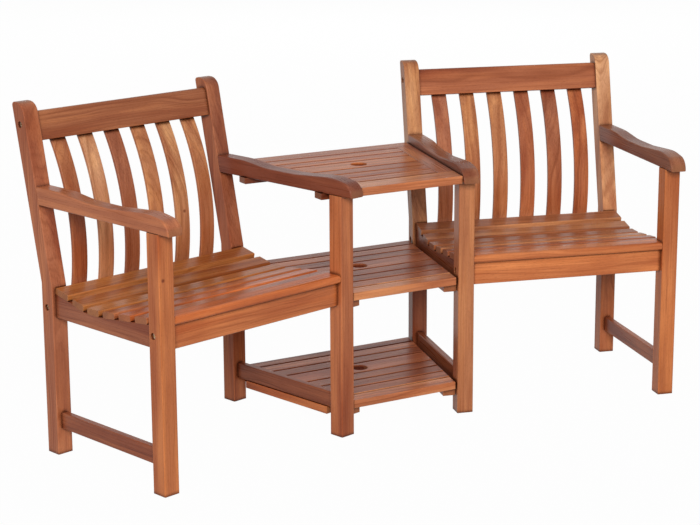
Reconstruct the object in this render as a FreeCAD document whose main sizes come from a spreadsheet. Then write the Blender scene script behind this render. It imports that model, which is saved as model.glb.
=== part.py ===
import FreeCAD, Part
import math
import os
import re

import Sketcher

# Companion seat bench: two armchairs turned towards each other, joined by a three-tier table.
# All sizes are in millimetres and degrees. Each chair is drawn in its own frame: X across the chair
# from its middle, Y to the back with the rear faces of the posts at 0, Z up from the ground.

SIZES = {
    # the whole
    "chair_turn": 15,  # each chair turns in by this angle
    "rear_gap": 563.6,  # between the two inner posts, at the back
    "chair_width": 632,
    "chair_depth": 468,  # rear face of a post to front face of a leg
    "leg_size": 44,  # posts, legs and arms are square bars of this size
    "arris": 2.5,  # rounding of the long edges
    "slat_arris": 2,
    # rear posts
    "post_height": 888,
    "bend_height": 442,  # above this the posts lean back
    "back_rake": 12,
    "post_front_round": 32,
    "post_rear_round": 8,
    # arms
    "arm_height": 639,  # underside
    "arm_thick": 44.9,
    "arm_dip": 10.3,  # how far the top sinks in the middle
    "dip_start": 96,
    "dip_rear": 186,
    "dip_front": 291,
    "arm_crown": 433,
    "nose_reach": 37,  # past the front of the leg
    "nose_fall": 12.2,
    "nose_round": 35.5,
    "sweep_round": 400,  # the gentle curves of the arm's top
    "crown_round": 220,
    "arm_arris": 4,
    "arm_tenon_low": 12,  # heights of its tenon above the underside
    "arm_tenon_high": 32,
    # cross rails between the side frames
    "rail_thick": 28,
    "crest_drop": 96.4,  # from the top of the posts to the crest rail's lower front edge
    "crest_deep": 75,  # its height along the rake
    "crest_thick": 33,
    "crest_inset": 7,  # behind the front of the posts
    "crest_round": 9,
    "crest_bolt_up": 46,  # bolts, from the lower edge of their rail
    "rail_bolt_up": 24,
    "apron_bolt_up": 39,
    "rear_rail_top": 413,
    "rear_rail_thick": 40,
    "apron_low": 352.5,
    "apron_inset": 15,
    # side frames
    "side_rail_thick": 24,
    "rail_low": 357.4,
    "stretcher_thick": 18,
    "stretcher_low": 67,
    "stretcher_deep": 42.4,
    # seat
    "seat_low": 393,  # top of the side rails at the bottom of the dish
    "dish_rise": 27.3,  # up from there to the posts
    "dish_back": 163.5,
    "dish_ahead": 220.5,
    "seat_front": 413,  # top of the side rails at the front
    "dish_end": 415,
    "slat_thick": 16,
    "slat_width": 45,
    "slat_pitch": 62.3,
    "slat_overhang": 1,
    "seat_slat_round": 3,
    "first_slat": 95,  # front edge of the rear slat, from the rear faces of the posts
    "nosing_thick": 22,
    "nosing_width": 47,
    "nosing_round": 9,
    "nosing_lip": 2,  # behind the front of the legs
    # back slats
    "back_slats": 6,
    "back_slat_width": 43,
    "back_slat_thick": 10.5,
    "back_bow": 548,  # radius of the front face
    "bow_height": 511,
    "bow_front": 23.4,
    "back_slat_bed": 7,  # how deep it goes into each rail
    # mortise and tenon joints
    "tenon_length": 15,
    "tenon_thick": 10,
    "tenon_root": 6,  # how far a tenon starts inside its own piece
    "leg_tenon_inset": 10,
    "shoulder": 8,
    "fit": 0.2,  # room round a tenon, on each side
    # table
    "top_thick": 21.4,
    "top_rear": 17.1,  # rear edge, from the line of the rear faces of the inner posts
    "top_front": -481.2,
    "table_middle": -201.2,  # middle of the centre boards and of the parasol holes
    "top_pitch": 55.5,
    "top_centre_width": 76.5,
    "board_gap": 7.5,
    "side_board_width": 50,
    "side_board_shoulder": 8,
    "arm_gap": 1.5,
    "bearer_width": 36,
    "bearer_thick": 17,
    "bearer_reach": 46,  # from the inner face of the arm
    "rear_bearer": -103.2,
    "front_bearer": -384.2,
    "shelf_thick": 21,
    "shelf_rear": -15.2,
    "shelf_front": -446.2,
    "shelf_pitch": 52.5,
    "shelf_centre_width": 71,
    "shelf_gap": 7,
    "shelf_end_gap": 5,
    "batten_thick": 20.6,
    "batten_inner": 36,  # how far it reaches under the boards
    "batten_outer": 35,  # how far it reaches under the side frame
    "batten_rear": 25,  # ends of the part under the boards
    "batten_front": 452,
    "batten_notch_rear": 83,  # ends of the part under the side frame
    "batten_notch_front": 401,
    "tongue": 8,
    "tongue_thick": 6,
    "parasol_hole": 45,
    # fasteners
    "bolt_size": 6,
    "bolt_length": 60,
    "bolt_head": 13,
    "bolt_head_deep": 6,
    "hex_socket": 5,
    "counterbore": 17,
    "counterbore_deep": 11,
    "nut_size": 10,
    "nut_length": 16,
    "nut_in": 22,  # from the end of the rail to the middle of its nut
    "screw_size": 4,
    "screw_length": 32,
    "long_screw": 45,
    "screw_head": 8,
    "screw_head_deep": 3,
    "screw_bite": 11,
    "screw_sink": 1,  # head of a bearer's screw, above the underside
}

doc = FreeCAD.newDocument("CompanionSeat")
sheet = doc.addObject("Spreadsheet::Sheet", "Sizes")
for row, (alias, amount) in enumerate(SIZES.items(), start=1):
    sheet.set("A%d" % row, alias.replace("_", " "))
    sheet.set("B%d" % row, str(amount))
    sheet.setAlias("B%d" % row, alias)
doc.recompute()

TINY = 1e-3  # two lengths closer than this are the same
PAST = "1"  # how far a cut runs past the face that it opens
SEAT_SLATS = range(6)
FLAT_SLAT = 2  # the seat slat in the bottom of the dish
BOARDS_BEHIND = 2  # of a shelf or the top, between its rear board and its centre board
BOARDS_AHEAD = 3
CENTRE_BOARD = BOARDS_BEHIND + 1

nodes = []  # drawn as they are
images = []  # mirrored from one of those


def formula(text):
    """The names of sizes in a formula stand for the sheet's cells."""
    def cell(match):
        word = match.group(0)
        return "Sizes." + word if word in SIZES else word
    return re.sub(r"[a-z_]+", cell, str(text))


def value(text):
    return float(sheet.evalExpression(formula(text)))


def bind(thing, prop, text):
    thing.setExpression(prop, formula(text))


BACK_SLATS = range(1, int(value("back_slats")) + 1)

# Sketches and features

def new_sketch(body, role, height="0"):
    """A sketch on one of the body's own planes, moved along that plane's normal."""
    plane = next(o for o in body.Origin.OriginFeatures if o.Role == role)
    sketch = body.newObject("Sketcher::SketchObject", "Sketch")
    sketch.AttachmentSupport = [(plane, "")]
    sketch.MapMode = "FlatFace"
    bind(sketch, "AttachmentOffset.Base.z", height)
    return sketch


def place_point(sketch, geometry, position, across, up):
    for kind, text in (("DistanceX", across), ("DistanceY", up)):
        number = sketch.addConstraint(Sketcher.Constraint(kind, -1, 1, geometry, position, value(text)))
        sketch.setExpression("Constraints[%d]" % number, formula(text))


def polygon(sketch, corners):
    """A closed outline of straight lines. Each corner is a pair of formulas."""
    spots = [FreeCAD.Vector(value(a), value(b), 0) for a, b in corners]
    first = sketch.GeometryCount
    for i, spot in enumerate(spots):
        sketch.addGeometry(Part.LineSegment(spot, spots[(i + 1) % len(spots)]), False)
    for i, (a, b) in enumerate(corners):
        after = first + (i + 1) % len(spots)
        sketch.addConstraint(Sketcher.Constraint("Coincident", first + i, 2, after, 1))
        place_point(sketch, first + i, 1, a, b)


def circles(sketch, spots, size):
    for a, b in spots:
        centre = FreeCAD.Vector(value(a), value(b), 0)
        number = sketch.addGeometry(Part.Circle(centre, FreeCAD.Vector(0, 0, 1), value(size) / 2), False)
        place_point(sketch, number, 3, a, b)
        width = sketch.addConstraint(Sketcher.Constraint("Diameter", number, value(size)))
        sketch.setExpression("Constraints[%d]" % width, formula(size))


def rectangle(low_a, high_a, low_b, high_b):
    return [(low_a, low_b), (high_a, low_b), (high_a, high_b), (low_a, high_b)]


def pad(body, role, corners, thick, height="0"):
    """Material of the outline, half its thickness to each side of the plane."""
    sketch = new_sketch(body, role, height)
    polygon(sketch, corners)
    feature = body.newObject("PartDesign::Pad", "Pad")
    feature.Profile = sketch
    feature.Midplane = True
    bind(feature, "Length", thick)
    return feature


def pocket(body, sketch, thick):
    feature = body.newObject("PartDesign::Pocket", "Pocket")
    feature.Profile = sketch
    feature.Midplane = True
    bind(feature, "Length", thick)


def mortise(body, role, corners, thick, height="0"):
    sketch = new_sketch(body, role, height)
    polygon(sketch, corners)
    pocket(body, sketch, thick)


def drill(body, role, spots, size, low, high):
    """Round holes along the plane's normal, from low to high."""
    sketch = new_sketch(body, role, "((%s) + (%s)) / 2" % (low, high))
    circles(sketch, spots, size)
    pocket(body, sketch, "(%s) - (%s)" % (high, low))


def round_edges(body, wanted, radius):
    """Fillet the edges that the test picks from the body's last feature."""
    doc.recompute()
    base = body.Tip
    names = ["Edge%d" % (i + 1) for i, e in enumerate(base.Shape.Edges) if wanted(e)]
    feature = body.newObject("PartDesign::Fillet", "Fillet")
    feature.Base = (base, names)
    bind(feature, "Radius", radius)


def along(axis):
    """A test for straight edges that run along an axis."""
    def test(edge):
        run = edge.Vertexes[-1].Point - edge.Vertexes[0].Point
        return edge.Curve.TypeId == "Part::GeomLine" and run.Length - abs(run.dot(axis)) < TINY
    return test


def on_sides(edge):
    """A test for edges that lie in a side face, square to X."""
    return edge.BoundBox.XLength < TINY


def at_corner(corners):
    """A test for edges across the chair that pass through one of the outline's corners."""
    spots = [(value(a), value(b)) for a, b in corners]

    def test(edge):
        middle = edge.CenterOfMass
        runs_across = abs(edge.BoundBox.XLength - edge.Length) < TINY
        return runs_across and any(math.hypot(middle.y - a, middle.z - b) < TINY for a, b in spots)
    return test


ACROSS = FreeCAD.Vector(1, 0, 0)
BACK = FreeCAD.Vector(0, 1, 0)
UP = FreeCAD.Vector(0, 0, 1)


def new_body(label):
    body = doc.addObject("PartDesign::Body", label)
    body.Label = label
    return body


def keep(thing, label, placement):
    """Name a sub-part, put it in its place and list it."""
    thing.Label = label
    thing.Placement = placement
    nodes.append(thing)


def group(label, things, placement):
    """Separate solids of one sub-part."""
    compound = doc.addObject("Part::Compound", label)
    compound.Links = things
    keep(compound, label, placement)


def copies(label, pattern, places, placement):
    """The same small solid at many places, as one sub-part."""
    doc.recompute()
    thing = doc.addObject("Part::Feature", label)
    thing.Shape = Part.makeCompound([pattern.Shape.transformed(place.toMatrix()) for place in places])
    keep(thing, label, placement)


def mirror(label, source):
    """The same sub-part on the other side of the seat's middle plane."""
    image = doc.addObject("Part::Mirroring", label)
    image.Source = source
    image.Normal = (1, 0, 0)
    image.Label = label
    images.append(image)


# Places in a chair's frame. A side is 1 or -1, and the middle of that side's posts is side * frame_x.

FRAME_X = "(chair_width - leg_size) / 2"
LEG_BACK = "leg_size - chair_depth"
LEG_FRONT = "-chair_depth"
INNER_X = "(chair_width / 2 - leg_size)"


def half_at(y, gap):
    """Half the room between the chairs, less a gap. Y is the table's, 0 at the rear of the inner posts."""
    return "(rear_gap / 2 + (%s) * tan(chair_turn) - (%s) / cos(chair_turn))" % (y, gap)


def beside(y, gap):
    """The left end of the line that half_at measures, in the left chair's frame."""
    return "(chair_width / 2 + %s)" % gap, "((%s) - (%s) * sin(chair_turn)) / cos(chair_turn)" % (y, gap)


def lean(height, inset="0"):
    """Y of a plane parallel to the raked faces: inset is how far it lies in front of the rear face."""
    return "((%s) - bend_height) * tan(back_rake) - (%s) / cos(back_rake)" % (height, inset)


def raked_corners(low_back, low_front, up_from, up_to, z_front):
    """A rectangle square to the raked post, whose zero height is at z_front on the plane low_front."""
    corners = []
    for depth, rise in ((low_back, up_from), (low_front, up_from), (low_front, up_to), (low_back, up_to)):
        y = "%s + ((%s) - (%s)) * cos(back_rake) + (%s) * sin(back_rake)" % (
            lean(z_front, low_front), low_front, depth, rise)
        z = "(%s) - ((%s) - (%s)) * sin(back_rake) + (%s) * cos(back_rake)" % (
            z_front, low_front, depth, rise)
        corners.append((y, z))
    return corners


BEARERS = ("rear_bearer", "front_bearer")
ARM_SCREW_GAP = "-leg_size / 2"
BOARD_SCREW_GAP = "arm_gap + side_board_width / 2 - tongue / 2"
SHELF_SCREW_GAP = "(batten_inner + shelf_end_gap) / 2"
BEARER_SCREW_LOW = "(arm_height - bearer_thick + screw_sink)"
BEARER_SCREW_BITE = "(screw_length - bearer_thick + screw_sink)"
BATTEN_SCREW_BITE = "(screw_length - batten_thick)"
CREST_FRONT = "(leg_size - crest_inset)"
CREST_BACK = "(leg_size - crest_inset - crest_thick)"
CREST_LOW = "(post_height - crest_drop)"
APRON_FRONT = "(apron_inset - chair_depth)"
APRON_BACK = "(apron_inset - chair_depth + rail_thick)"
RAIL_FRONT = "(-rear_rail_thick)"
RAIL_BACK = "0"
STRETCHER_TOP = "stretcher_low + stretcher_deep"
FIT = "fit"
TENON_SLOT = "(tenon_thick + 2 * fit)"


def crest_tenon(room="0"):
    """The tenon's section, in the raked frame of the crest rail."""
    back, front = "%s + shoulder - %s" % (CREST_BACK, room), "%s - shoulder + %s" % (CREST_FRONT, room)
    low, high = "shoulder - %s" % room, "crest_deep - shoulder * 2 + %s" % room
    return raked_corners(back, front, low, high, CREST_LOW)


def rear_rail_tenon(room="0"):
    return rectangle("%s + shoulder - %s" % (RAIL_FRONT, room), "%s - shoulder + %s" % (RAIL_BACK, room),
                     "rail_low + shoulder - %s" % room, "rear_rail_top - shoulder + %s" % room)


def apron_tenon(room="0"):
    return rectangle("%s + shoulder - %s" % (APRON_FRONT, room), "%s - shoulder + %s" % (APRON_BACK, room),
                     "apron_low + shoulder - %s" % room, "seat_front - shoulder + %s" % room)


def side_tenon(low, high, room):
    """Through both ends of a side rail or stretcher, front and back."""
    return rectangle("%s - tenon_length - %s" % (LEG_BACK, room), "tenon_length - leg_size + %s" % room,
                     "%s + shoulder - %s" % (low, room), "%s - shoulder + %s" % (high, room))


def side_rail_tenon(room="0"):
    return side_tenon("rail_low", "seat_low", room)


def stretcher_tenon(room="0"):
    return side_tenon("stretcher_low", STRETCHER_TOP, room)


def arm_tenon(room="0"):
    """At the rear end of an arm."""
    low, high = "arm_height + arm_tenon_low - %s" % room, "arm_height + arm_tenon_high + %s" % room
    low_face, high_face = lean(low, "leg_size"), lean(high, "leg_size")
    reach = " + tenon_length + %s" % room
    root = " - tenon_root"
    return [(low_face + root, low), (low_face + reach, low),
            (high_face + reach, high), (high_face + root, high)]


def leg_tenon(room="0"):
    """On top of a front leg."""
    front = "%s + leg_tenon_inset - %s" % (LEG_FRONT, room)
    back = "%s - leg_tenon_inset + %s" % (LEG_BACK, room)
    return rectangle(front, back, "arm_height - tenon_root", "arm_height + tenon_length + %s" % room)


# Y and Z of each bolt, in the middle of its rail's thickness

CREST_BOLT = ("%s + crest_bolt_up * sin(back_rake) + crest_thick / 2 * cos(back_rake)"
              % lean(CREST_LOW, CREST_FRONT),
              "%s - crest_thick / 2 * sin(back_rake) + crest_bolt_up * cos(back_rake)" % CREST_LOW)
BOLT_HOLE = "bolt_size + 2 * fit"
SCREW_HOLE = "screw_size + 2 * fit"
RAIL_BOLT = ("%s + rear_rail_thick / 2" % RAIL_FRONT, "rail_low + rail_bolt_up")
APRON_BOLT = ("%s + rail_thick / 2" % APRON_FRONT, "apron_low + apron_bolt_up")


def pilot_holes(body, spots, low, deep):
    """Blind holes up from an underside, for screws."""
    drill(body, "XY_Plane", spots, SCREW_HOLE, "%s - %s" % (low, PAST), "%s + %s + fit" % (low, deep))


def bolt_holes(body, side, spots):
    """Counterbore on the outer face and a clear hole right through the bar."""
    outer = "leg_size / 2"
    if side > 0:
        drill(body, "YZ_Plane", spots, "counterbore", "%s - counterbore_deep" % outer, outer)
    else:
        drill(body, "YZ_Plane", spots, "counterbore", "-(%s)" % outer, "-(%s) + counterbore_deep" % outer)
    drill(body, "YZ_Plane", spots, BOLT_HOLE, "-leg_size / 2", "leg_size / 2")


def cross_mortise(body, side, corners):
    """A mortise from the face that looks at the seat."""
    depth = "(tenon_length + fit)"
    middle = "%d * (%s / 2 - leg_size / 2)" % (side, depth)
    mortise(body, "YZ_Plane", corners, depth, middle)


def rear_post(label, side, placement):
    """A square bar, upright to the seat and raked above it, rounded at the top."""
    body = new_body(label)
    half_bend = "leg_size * tan(back_rake / 2)"
    top_back = (lean("post_height", "0"), "post_height")
    top_front = (lean("post_height", "leg_size"), "post_height")
    corners = [("-leg_size", "0"), ("0", "0"), ("0", "bend_height"), top_back, top_front,
               ("-leg_size", "bend_height - " + half_bend)]
    pad(body, "YZ_Plane", corners, "leg_size")
    round_edges(body, at_corner([top_front]), "post_front_round")
    round_edges(body, at_corner([top_back]), "post_rear_round")
    round_edges(body, lambda e: on_sides(e) and e.CenterOfMass.z > TINY, "arris")
    cross_mortise(body, side, crest_tenon(FIT))
    cross_mortise(body, side, rear_rail_tenon(FIT))
    mortise(body, "YZ_Plane", side_rail_tenon(FIT), TENON_SLOT)
    mortise(body, "YZ_Plane", stretcher_tenon(FIT), TENON_SLOT)
    mortise(body, "YZ_Plane", arm_tenon(FIT), TENON_SLOT)
    bolt_holes(body, side, [CREST_BOLT, RAIL_BOLT])
    keep(body, label, placement)


def front_leg(label, side, placement):
    """A square upright under the arm, with a tenon on top."""
    body = new_body(label)
    pad(body, "YZ_Plane", rectangle(LEG_FRONT, LEG_BACK, "0", "arm_height"), "leg_size")
    round_edges(body, along(UP), "arris")
    pad(body, "YZ_Plane", leg_tenon(), "tenon_thick")
    cross_mortise(body, side, apron_tenon(FIT))
    mortise(body, "YZ_Plane", side_rail_tenon(FIT), TENON_SLOT)
    mortise(body, "YZ_Plane", stretcher_tenon(FIT), TENON_SLOT)
    bolt_holes(body, side, [APRON_BOLT])
    keep(body, label, placement)


def arm(label, side, placement):
    """A straight underside and a top that dips, rises and rolls down over the leg."""
    body = new_body(label)
    top = "arm_height + arm_thick"
    nose = "-chair_depth - nose_reach"
    bends = [("-dip_start", top), ("-dip_rear", top + " - arm_dip"), ("-dip_front", top + " - arm_dip"),
             ("-arm_crown", top), (nose, top + " - nose_fall")]
    corners = [(lean("arm_height", "leg_size"), "arm_height"), (lean(top, "leg_size"), top)] + bends
    corners.append((nose, "arm_height"))
    pad(body, "YZ_Plane", corners, "leg_size")
    round_edges(body, at_corner(bends[:3]), "sweep_round")
    round_edges(body, at_corner(bends[3:4]), "crown_round")
    round_edges(body, at_corner(bends[4:]), "nose_round")
    rear_end = value(lean("arm_height", "leg_size"))
    round_edges(body, lambda e: on_sides(e) and e.CenterOfMass.y < rear_end, "arm_arris")
    pad(body, "YZ_Plane", arm_tenon(), "tenon_thick")
    mortise(body, "YZ_Plane", leg_tenon(FIT), TENON_SLOT)
    if side > 0:
        spots = [("0", beside(middle, ARM_SCREW_GAP)[1]) for middle in BEARERS]
        pilot_holes(body, spots, "arm_height", BEARER_SCREW_BITE)
    keep(body, label, placement)


# Seat slats. The two rear ones lie on the slope behind the dish, the third in the dish and the rest ahead.

REAR_SLOPE = "atan(dish_rise / (dish_back - leg_size))"
FRONT_SLOPE = "atan((seat_front - seat_low) / (dish_end - dish_ahead))"


def slat_line(number):
    """Rear edge, front edge and slope of a slat: distances to the front, at the height of the rails' top."""
    front = "(first_slat + %d * slat_pitch)" % number
    if number == 0:
        return "(leg_size + 2 * fit)", front, REAR_SLOPE
    if number == FLAT_SLAT:
        return "(%s - slat_width)" % front, front, "0"
    slope = REAR_SLOPE if number < FLAT_SLAT else "-" + FRONT_SLOPE
    return "(%s - slat_width * cos(%s))" % (front, slope), front, slope


def rail_top(number, distance):
    """Height of the side rails' top under a slat, at a distance to the front."""
    if number < FLAT_SLAT:
        return "(seat_low + (dish_back - (%s)) * tan(%s))" % (distance, REAR_SLOPE)
    if number == FLAT_SLAT:
        return "seat_low"
    return "(seat_low + ((%s) - dish_ahead) * tan(%s))" % (distance, FRONT_SLOPE)


def slat_screws():
    """Y of each slat's screws and the height of the rails' top there."""
    places = []
    for number in SEAT_SLATS:
        rear, front, _ = slat_line(number)
        middle = "(%s + %s) / 2" % (rear, front)
        places.append(("-(%s)" % middle, rail_top(number, middle)))
    return places


def batten_screw_spots():
    """Along the inner side frames, ahead of every other seat slat and clear of its screws."""
    between = "-(first_slat - slat_width / 2 + (%d + 1 / 2) * slat_pitch)"
    return [("0", between % number) for number in SEAT_SLATS[::2]]


def side_rail(label, side, placement):
    """Carries the seat slats on its dished top, and is screwed to them from below."""
    body = new_body(label)
    back_y, front_y = "-leg_size", LEG_BACK
    corners = [(front_y, "rail_low"), (back_y, "rail_low"), (back_y, "seat_low + dish_rise"),
               ("-dish_back", "seat_low"), ("-dish_ahead", "seat_low"), ("-dish_end", "seat_front"),
               (front_y, "seat_front")]
    pad(body, "YZ_Plane", corners, "side_rail_thick")
    low = value("rail_low") + TINY
    round_edges(body, lambda e: on_sides(e) and e.CenterOfMass.z < low, "arris")
    pad(body, "YZ_Plane", side_rail_tenon(), "tenon_thick")
    for y, height in slat_screws():
        low = "(%s + screw_bite - long_screw)" % height
        screw_holes(body, [("0", y)], low, height, "rail_low")
    if side > 0:
        pilot_holes(body, batten_screw_spots(), "rail_low", BATTEN_SCREW_BITE)
    keep(body, label, placement)


def stretcher(label, side, placement):
    body = new_body(label)
    pad(body, "YZ_Plane", rectangle(LEG_BACK, "-leg_size", "stretcher_low", STRETCHER_TOP), "stretcher_thick")
    round_edges(body, along(BACK), "arris")
    pad(body, "YZ_Plane", stretcher_tenon(), "tenon_thick")
    if side > 0:
        pilot_holes(body, batten_screw_spots(), "stretcher_low", BATTEN_SCREW_BITE)
    keep(body, label, placement)


def nut_and_bolt_holes(body, spot, thick):
    """Bolt holes in from both ends, and holes for the barrel nuts from the hidden rear face."""
    reach = "(nut_in + nut_size)"
    tip = "(%s + tenon_length)" % INNER_X
    drill(body, "YZ_Plane", [spot], BOLT_HOLE, "%s - %s" % (INNER_X, reach), tip)
    drill(body, "YZ_Plane", [spot], BOLT_HOLE, "-%s" % tip, "%s - %s" % (reach, INNER_X))
    y, z = spot
    nuts = [("%s - nut_in" % INNER_X, z), ("nut_in - %s" % INNER_X, z)]
    past_face, nut_end = "-(%s) - %s" % (y, thick), "-(%s) + nut_length / 2 + fit" % y
    drill(body, "XZ_Plane", nuts, "nut_size + 2 * fit", past_face, nut_end)


def back_slat_middle(number):
    """Even gaps between the posts and the slats."""
    gap = "((2 * %s - back_slats * back_slat_width) / (back_slats + 1))" % INNER_X
    return "(%d * (back_slat_width + %s) - back_slat_width / 2 - %s)" % (number, gap, INNER_X)


def bow_outline(sketch, room):
    """Two arcs about one middle: the bent slat seen from the side with square ends, room larger all round."""
    middle = ("back_bow - bow_front", "bow_height")
    ends = ("%s + back_slat_bed + %s" % (CREST_LOW, room), "rear_rail_top - back_slat_bed - %s" % room)
    centre = FreeCAD.Vector(value(middle[0]), value(middle[1]), 0)
    radii = ("back_bow + %s" % room, "back_bow - back_slat_thick - %s" % room)
    for radius in radii:
        high, low = ["bow_height + (%s - bow_height) * (%s) / back_bow" % (end, radius) for end in ends]
        angles = [math.pi - math.asin((value(z) - centre.y) / value(radius)) for z in (high, low)]
        circle = Part.Circle(centre, FreeCAD.Vector(0, 0, 1), value(radius))
        arc = sketch.addGeometry(Part.ArcOfCircle(circle, angles[0], angles[1]), False)
        place_point(sketch, arc, 3, middle[0], middle[1])
        number = sketch.addConstraint(Sketcher.Constraint("Radius", arc, value(radius)))
        sketch.setExpression("Constraints[%d]" % number, formula(radius))
        for end, height in ((1, high), (2, low)):
            number = sketch.addConstraint(Sketcher.Constraint("DistanceY", -1, 1, arc, end, value(height)))
            sketch.setExpression("Constraints[%d]" % number, formula(height))
    for end in (1, 2):
        line = sketch.addGeometry(Part.LineSegment(sketch.getPoint(0, end), sketch.getPoint(1, end)), False)
        sketch.addConstraint(Sketcher.Constraint("Coincident", line, 1, 0, end))
        sketch.addConstraint(Sketcher.Constraint("Coincident", line, 2, 1, end))


def back_slat(label, number):
    """A flat bar bent to an arc, let into the crest rail and the rear rail."""
    body = new_body(label)
    sketch = new_sketch(body, "YZ_Plane", back_slat_middle(number))
    bow_outline(sketch, "0")
    feature = body.newObject("PartDesign::Pad", "Pad")
    feature.Profile = sketch
    feature.Midplane = True
    bind(feature, "Length", "back_slat_width")
    round_edges(body, lambda e: e.Curve.TypeId == "Part::GeomCircle", "slat_arris")
    return body


def slat_slots(body):
    """Slots for the ends of the back slats."""
    for number in BACK_SLATS:
        sketch = new_sketch(body, "YZ_Plane", back_slat_middle(number))
        bow_outline(sketch, FIT)
        pocket(body, sketch, "back_slat_width + 2 * fit")


def crest_rail(label, placement):
    """The top rail, square to the raked posts, with its upper edges rounded."""
    body = new_body(label)
    corners = raked_corners(CREST_BACK, CREST_FRONT, "0", "crest_deep", CREST_LOW)
    pad(body, "YZ_Plane", corners, "2 * %s" % INNER_X)
    round_edges(body, at_corner(corners[2:]), "crest_round")
    round_edges(body, at_corner(corners[:2]), "arris")
    pad(body, "YZ_Plane", crest_tenon(), "2 * (%s + tenon_length)" % INNER_X)
    slat_slots(body)
    nut_and_bolt_holes(body, CREST_BOLT, "crest_thick")
    keep(body, label, placement)


def rear_rail(label, placement):
    """Behind the seat, it holds the feet of the back slats and ties the posts."""
    body = new_body(label)
    pad(body, "YZ_Plane", rectangle(RAIL_FRONT, RAIL_BACK, "rail_low", "rear_rail_top"), "2 * %s" % INNER_X)
    round_edges(body, along(ACROSS), "arris")
    pad(body, "YZ_Plane", rear_rail_tenon(), "2 * (%s + tenon_length)" % INNER_X)
    slat_slots(body)
    nut_and_bolt_holes(body, RAIL_BOLT, "rear_rail_thick")
    keep(body, label, placement)


QUARTER = "chair_width / 4"
NOSING_SCREWS = ["-" + QUARTER, "0", QUARTER]
NOSING_SCREW_Y = "(%s + rail_thick / 2)" % APRON_FRONT
NOSING_SCREW_LOW = "(seat_front + screw_bite - long_screw)"


def screw_holes(body, spots, low, high, under):
    """Clear holes up from a deep counterbore that opens at the height called under."""
    drill(body, "XY_Plane", spots, SCREW_HOLE, low, "%s + %s" % (high, PAST))
    sunk = "%s + screw_head_deep + fit" % low
    drill(body, "XY_Plane", spots, "screw_head + 2 * fit", "%s - %s" % (under, PAST), sunk)


def front_apron(label, placement):
    """Under the front of the seat, between the front legs."""
    body = new_body(label)
    pad(body, "YZ_Plane", rectangle(APRON_FRONT, APRON_BACK, "apron_low", "seat_front"), "2 * %s" % INNER_X)
    round_edges(body, along(ACROSS), "arris")
    pad(body, "YZ_Plane", apron_tenon(), "2 * (%s + tenon_length)" % INNER_X)
    nut_and_bolt_holes(body, APRON_BOLT, "rail_thick")
    spots = [(x, NOSING_SCREW_Y) for x in NOSING_SCREWS]
    screw_holes(body, spots, NOSING_SCREW_LOW, "seat_front", "apron_low")
    keep(body, label, placement)


def seat_nosing(label, placement):
    """The front slat, fitted between the front legs, with a round front edge."""
    body = new_body(label)
    front = "nosing_lip - chair_depth"
    back = "nosing_lip - chair_depth + nosing_width"
    top = "seat_front + nosing_thick"
    pad(body, "YZ_Plane", rectangle(front, back, "seat_front", top), "2 * (%s - fit)" % INNER_X)
    round_edges(body, at_corner([(front, top), (front, "seat_front")]), "nosing_round")
    round_edges(body, at_corner([(back, top), (back, "seat_front")]), "arris")
    spots = [(x, NOSING_SCREW_Y) for x in NOSING_SCREWS]
    pilot_holes(body, spots, "seat_front", "screw_bite")
    keep(body, label, placement)


def seat_slat(label, number):
    """A flat bar across both side rails, tilted as their dished tops are."""
    body = new_body(label)
    rear, front, slope = slat_line(number)
    rear_z, front_z = rail_top(number, rear), rail_top(number, front)
    over_y, over_z = "-slat_thick * sin(%s)" % slope, "slat_thick * cos(%s)" % slope
    corners = [("-(%s)" % rear, rear_z), ("-(%s)" % front, front_z),
               ("-(%s) + %s" % (front, over_y), "%s + %s" % (front_z, over_z)),
               ("-(%s) + %s" % (rear, over_y), "%s + %s" % (rear_z, over_z))]
    pad(body, "YZ_Plane", corners, "chair_width - leg_size + side_rail_thick + 2 * slat_overhang")
    round_edges(body, at_corner(corners), "seat_slat_round")
    y, height = slat_screws()[number]
    drill(body, "XY_Plane", [("-(%s)" % FRAME_X, y), (FRAME_X, y)], SCREW_HOLE,
          "%s - slat_thick / 2" % height, "%s + screw_bite + fit" % height)
    return body


# Fasteners

def turned_body(label, corners):
    """A solid turned about X from half of its outline."""
    body = new_body(label)
    sketch = new_sketch(body, "XZ_Plane")
    polygon(sketch, corners)
    feature = body.newObject("PartDesign::Revolution", "Revolution")
    feature.Profile = sketch
    feature.ReferenceAxis = (sketch, ["H_Axis"])
    return body


def bolt_pattern():
    """A round-headed bolt with its head's underside at 0, pointing along X, and a hex socket."""
    shank, head = "bolt_size / 2", "bolt_head / 2"
    outline = [("-bolt_head_deep", "0"), ("bolt_length", "0"), ("bolt_length", shank),
               ("0", shank), ("0", head), ("-bolt_head_deep", head)]
    body = turned_body("bolt_pattern", outline)
    half = "hex_socket / 2"
    wide = "hex_socket / 2 / cos(30)"
    slant = "hex_socket / 4 / cos(30)"
    hexagon = [(wide, "0"), (slant, half), ("-(%s)" % slant, half), ("-(%s)" % wide, "0"),
               ("-(%s)" % slant, "-(%s)" % half), (slant, "-(%s)" % half)]
    sketch = new_sketch(body, "YZ_Plane", "-bolt_head_deep")
    polygon(sketch, hexagon)
    pocket(body, sketch, "bolt_head_deep")
    return body


def nut_pattern():
    """A barrel nut along Y with a cross hole for the bolt."""
    body = new_body("nut_pattern")
    sketch = new_sketch(body, "XZ_Plane")
    circles(sketch, [("0", "0")], "nut_size")
    feature = body.newObject("PartDesign::Pad", "Pad")
    feature.Profile = sketch
    feature.Midplane = True
    bind(feature, "Length", "nut_length")
    drill(body, "YZ_Plane", [("0", "0")], BOLT_HOLE, "-nut_size", "nut_size")
    return body


def screw_pattern(label, length):
    """A wood screw along X with a countersunk head, the face of the head at 0."""
    return turned_body(label, [("0", "0"), (length, "0"), ("%s - screw_size" % length, "screw_size / 2"),
                               ("screw_head_deep", "screw_size / 2"), ("0", "screw_head / 2")])


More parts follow.
